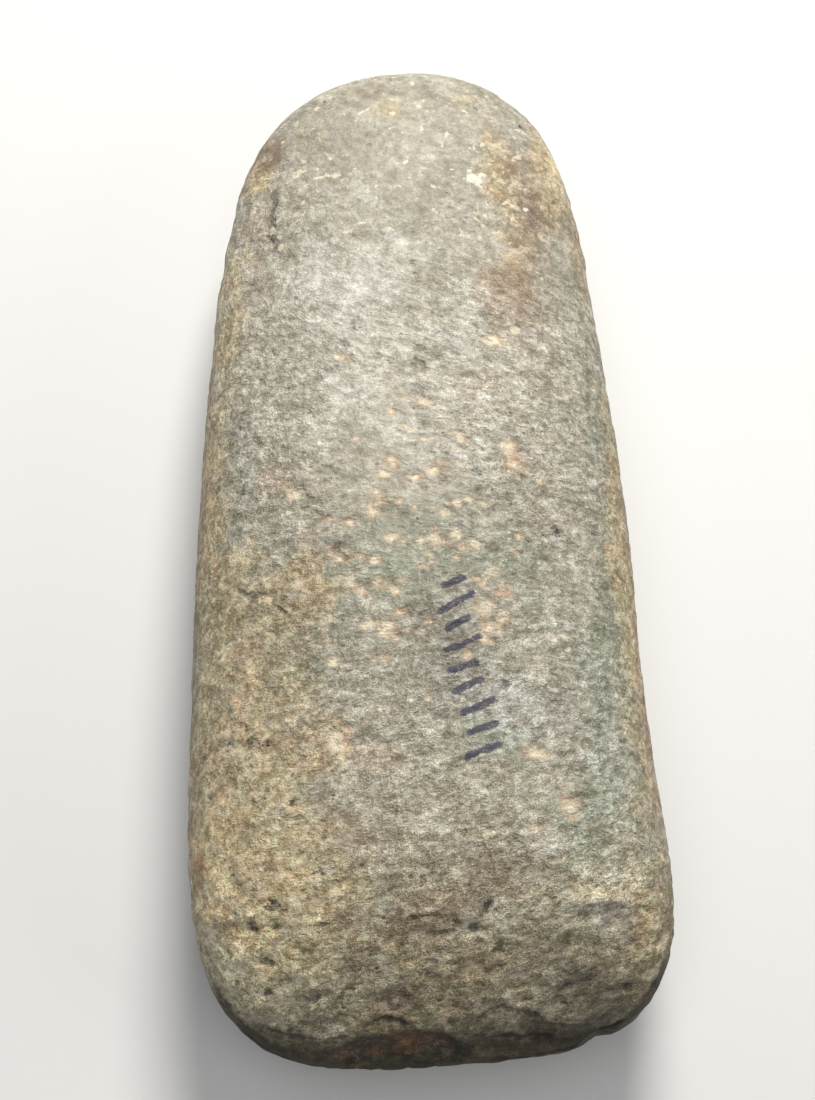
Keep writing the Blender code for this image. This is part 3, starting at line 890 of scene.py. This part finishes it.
def stoneNoises(start):
    # what the stone's colours and heights share. The grain and the longer dashes run with the streaks.
    noise = SimpleNamespace(place=start.node("ShaderNodeTexCoord", out="Object"))
    x, y, z = noise.place.parts()
    sheared = y + x * streaks(y)
    noise.drawn = start.node("ShaderNodeCombineXYZ", {}, {0: x * 0.80, 1: sheared, 2: z})
    long = start.node("ShaderNodeCombineXYZ", {}, {0: x * 0.60, 1: sheared, 2: z})
    noise.wide = start.noise(noise.drawn, 3.2 * mm, 3.0, 0.6)
    noise.dents = start.noise(noise.drawn, 1.5 * mm, 4.0, 0.62)
    noise.fine = start.noise(noise.drawn, 0.19 * mm, 2.0, 0.8)
    noise.broad = start.noise(noise.place, 16.0 * mm, 3.0, 0.6)
    # the butt is ground smooth, and its grain has no direction
    noise.smooth = start.field("smooth")
    dashes = start.noise(long, 1.4 * mm, 2.0, 0.5)
    noise.dashes = dashes + (0.5 - dashes) * noise.smooth
    grain = start.noise(noise.drawn, 0.85 * mm, 4.0, 0.80)
    noise.grain = grain + (start.noise(noise.place, 1.05 * mm, 4.0, 0.76) - grain) * noise.smooth
    # three values each, for patches and for small changes of colour
    tints = start.noise(noise.place, 7.0 * mm, 5.0, 0.66, out="Color")
    hues = start.noise(noise.place, 2.2 * mm, 3.0, 0.60, out="Color")
    noise.tints = tints.parts("ShaderNodeSeparateColor")
    noise.hues = hues.parts("ShaderNodeSeparateColor")
    noise.rougher = start.field("rougher")
    noise.contrast = start.field("crispness")
    return noise


def patch(start, noise, name, mottle, low=0.20, high=0.85):
    # a broad patch with its own ragged border
    weight = start.field(name) + (mottle - 0.5) * 2.0 + (noise.broad - 0.5) * 0.8 + (noise.grain - 0.5) * 0.6
    return weight.between(low, high)


def stainedColour(start, noise):
    # the stone and its broad patches
    tints = noise.tints
    ochre = start.plain(stone["olive"]).tint((noise.hues[0] + tints[2]).between(0.92, 1.10), stone["tan"])
    colour = start.plain(stone["base"]).tint(start.field("dusk"), stone["duskBase"])
    colour = colour.tint(patch(start, noise, "green", tints[0]) * 0.80, stone["green"])
    # pale patches: lighter stone, and painted sheen and light
    colour = colour.tint(patch(start, noise, "pale", tints[1]) * 0.60, stone["pale"])
    colour = colour.tint(patch(start, noise, "pink", tints[2]) * 0.55, stone["pink"])
    colour = colour.tint(patch(start, noise, "ochre", tints[1]) * 0.80, ochre)
    colour = colour.tint(patch(start, noise, "brown", tints[2], 0.3, 1.0) * 0.75, stone["brown"])
    return colour.tint(patch(start, noise, "rust", tints[0], 0.3, 0.9) * 0.70, stone["rust"])


def grainAndPaintedLight(start, noise):
    # the grain's own light and dark, and the painted light and shade of the shade patches, to multiply a
    # colour by. The dark grains are warmer than the light ones.
    crisp = start.maths("MINIMUM", noise.contrast, 1.85)
    sway = (noise.grain - 0.5) * crisp * 2.3 + (noise.fine - 0.5) * (crisp * 2.2 - 0.6)
    sway = sway + (noise.wide - 0.5) * (noise.rougher * 0.4 + 1.0)
    sway = sway + (noise.dashes - 0.5) * crisp * 0.9 + (noise.hues[2] - 0.5) * 0.6 + 0.03
    shares = (0.95 - 0.07 * start.field("dusk"), 1.0, 1.14)
    # painted light and shade, with some of the stone's own tone
    shade = start.field("shade")
    levels = {k: start.maths("EXPONENT", sway * share + shade) for k, share in enumerate(shares)}
    return start.node("ShaderNodeCombineColor", {}, levels)


def fleckedColour(start, noise, colour):
    # pale specks, lumps and hollows of the ochre crust, and light flecks
    grain, hues = noise.grain, noise.hues
    speck = (start.noise(noise.drawn, 2.1 * mm, 2.0, 0.5) + (grain - 0.5) * 0.35).between(0.55, 0.67)
    speckColour = start.plain(stone["pale"]).tint(hues[0].between(0.46, 0.60), stone["rosyPale"])
    colour = colour.tint(speck * noise.contrast * 0.26, speckColour)
    ochreHere = start.field("ochre").between(0.10, 0.90)
    crust = hues[1] + (grain - 0.5) * 0.8
    colour = colour.tint(crust.between(0.54, 0.68) * ochreHere * 0.60, stone["lump"])
    colour = colour.tint(crust.between(0.46, 0.34) * ochreHere * 0.35, stone["brown"])
    fleck = (grain + noise.fine * 0.5).between(0.84, 1.00)
    fleckColour = start.plain(stone["fleck"]).tint(hues[1].between(0.52, 0.66), stone["rosyFleck"])
    return colour.tint(fleck * noise.contrast * 0.34, fleckColour)


def stoneMarks(start, noise):
    # how much of each mark there is, from 0 to 1, by its distance with a ragged edge
    grain, dents, fine = noise.grain, noise.dents, noise.fine
    edge = (dents - 0.5) * 3.4 + (grain - 0.5) * 2.0
    dots = start.noise(noise.place, 1.5 * mm, 1.0, 0.5)
    pressed = start.field("penLine") + (grain - 0.5) * 0.8 + (dents - 0.5) * 0.9
    # dirt, and painted shade at and near the edge's face
    dirtAndShade = start.field("grimeAndShade") + (noise.tints[2] - 0.5) * 1.0 + (dents - 0.5) * 0.8
    return SimpleNamespace(
        hollow=(dents - noise.rougher * 0.022 + (fine - 0.5) * 0.10).between(0.305, 0.255),
        palePit=(start.field("pitPale") + edge * 0.7).between(1.60, 0.20),
        darkPit=(start.field("pitDark") + edge * 0.7).between(0.75, 0.20),
        plainPit=(start.field("pitPlain") + edge * 0.6).between(1.10, 0.20),
        # the ground butt is dotted with cream
        dot=(dots + (fine - 0.5) * 0.2).between(0.66, 0.74) * noise.smooth,
        white=(start.field("spotWhite") + edge * 0.8).between(1.30, 0.60),
        cream=(start.field("spotCream") + edge).between(1.15, 0.50),
        scratch=(start.field("scratch") + (grain - 0.5) * 0.3).between(0.28, 0.08),
        # dark cracks, and painted shadow lines along the ledges' rims
        crackAndShadowLine=(start.field("crackAndShadowLine") + edge * 0.45).between(0.62, 0.10),
        chipped=(start.field("chipped") + edge * 0.06).between(-0.02, 0.10),
        # scar faces painted dark: dirt, with painted shade
        soiled=(start.field("soiled") + edge * 0.06).between(-0.08, 0.16),
        # painted shadow on the dropped side of each ledge
        ledge=(start.field("ledge") + edge * 0.3).between(0.60, 0.10) * start.field("ledgeDirt"),
        # dirt, and painted shade at and near the edge's face
        grimeAndShade=dirtAndShade.between(-0.10, 1.40),
        # the pen misses the low spots of the grain
        ink=pressed.between(0.62, 0.34) * (fine * 0.8 + grain + dents * 0.4).between(0.84, 1.10),
    )


def markedColour(start, noise, marks, colour):
    # the hollows, pits and spots, the painted shadow under the ledges, then the cracks and painted shadow
    # lines
    salmon = (start.field("pitPale") + (noise.hues[0] - 0.5) * 3.0).between(0.45, 1.20)
    pitFloor = start.plain(stone["cream"]).tint(salmon * 0.70, stone["salmon"])
    colour = colour.tint(marks.hollow * 0.60, stone["hollow"])
    colour = colour.tint(marks.palePit * (noise.grain.between(0.34, 0.56) * 0.55 + 0.35), pitFloor)
    colour = colour.tint(marks.darkPit * 0.70, stone["hollow"])
    colour = colour.tint(marks.plainPit * 0.12, stone["hollow"])
    colour = colour.tint(marks.dot * 0.55, stone["cream"])
    colour = colour.tint(marks.white * 0.85, stone["white"])
    colour = colour.tint(marks.cream * 0.60, stone["cream"])
    colour = colour.tint(marks.scratch * 0.45, stone["pale"])
    colour = colour.tint(marks.chipped * 0.10, stone["brown"])
    # painted shadow under the ledges
    colour = colour.tint(marks.ledge, stone["hollow"])
    # dark cracks, and painted shadow lines along the ledges' rims
    return colour.tint(marks.crackAndShadowLine * 0.62, stone["hollow"])


def soiledColour(start, noise, marks, colour, light):
    # dirt and painted shade round the edge, and dark faces with rust where it broke, darkened for dirt and
    # painted shade
    rust = patch(start, noise, "rust", noise.hues[1], 0.1, 1.1)
    # scar faces painted near black: dirt, with painted shade
    face = start.plain(stone["soiledFace"]).tint(rust * 0.65, stone["rust"]).tint(1.0, light, "MULTIPLY")
    # dirt, and painted shade at and near the edge's face
    colour = colour.tint(marks.grimeAndShade, stone["grimeAndShade"], "MULTIPLY")
    return colour.tint(marks.soiled * 0.94, face)


def stoneHeight(noise, marks):
    # in mm
    height = (noise.grain * (noise.rougher * 0.26 + 0.14) + noise.fine * 0.07) * noise.contrast
    height = height + noise.wide * 0.50 + noise.dents * 0.50 + noise.dashes * 0.48 - marks.hollow * 0.10
    height = height - marks.palePit * 0.10 - marks.darkPit * 0.28 - marks.plainPit * 0.18
    return height - marks.scratch * 0.04 - marks.crackAndShadowLine * 0.20


def stoneMaterial():
    material = bpy.data.materials.new("weatheredGreenStone")
    material.use_nodes = True
    tree = material.node_tree
    start = Wire(tree)
    shader = tree.nodes["Principled BSDF"]
    noise = stoneNoises(start)
    marks = stoneMarks(start, noise)
    light = grainAndPaintedLight(start, noise)

    colour = stainedColour(start, noise).tint(1.0, light, "MULTIPLY")
    colour = fleckedColour(start, noise, colour)
    colour = markedColour(start, noise, marks, colour)
    colour = soiledColour(start, noise, marks, colour, light)
    colour = colour.tint(marks.ink * 0.92, stone["ink"])
    tree.links.new(colour.socket, shader.inputs["Base Color"])

    # the pale patches, partly painted sheen and light, are also a little glossier
    polished = start.field("pale").capped()
    roughness = stone["roughness"] + (noise.grain - 0.5) * 0.5 + marks.soiled * 0.15
    roughness = roughness + (noise.contrast - 1.1) * 0.15 - polished * 0.10
    tree.links.new(roughness.capped().socket, shader.inputs["Roughness"])
    shader.inputs["Metallic"].default_value = 0.0

    bumps = {"Height": stoneHeight(noise, marks), "Strength": 1.0, "Distance": mm}
    bump = start.node("ShaderNodeBump", {}, bumps, out="Normal")
    tree.links.new(bump.socket, shader.inputs["Normal"])
    return material


def makeSkin(name, points, faces, values):
    data = bpy.data.meshes.new(name)
    data.vertices.add(len(points))
    data.vertices.foreach_set("co", points.astype(np.float32).ravel())
    data.loops.add(faces.size)
    data.loops.foreach_set("vertex_index", faces.astype(np.int32).ravel())
    data.polygons.add(len(faces))
    data.polygons.foreach_set("loop_start", np.arange(0, faces.size, 4, dtype=np.int32))
    data.update(calc_edges=True)
    data.shade_smooth()
    for field, level in values.items():
        data.attributes.new(field, "FLOAT", "POINT").data.foreach_set("value", level.astype(np.float32))
    thing = bpy.data.objects.new(name, data)
    bpy.context.scene.collection.objects.link(thing)
    return thing


stoneSkin = makeSkin("stoneSkin", shaped, quads, fields)
stoneSkin.data.materials.append(stoneMaterial())
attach(stoneSkin, "root")
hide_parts("axe_head")
print("stage: skin and stone made")
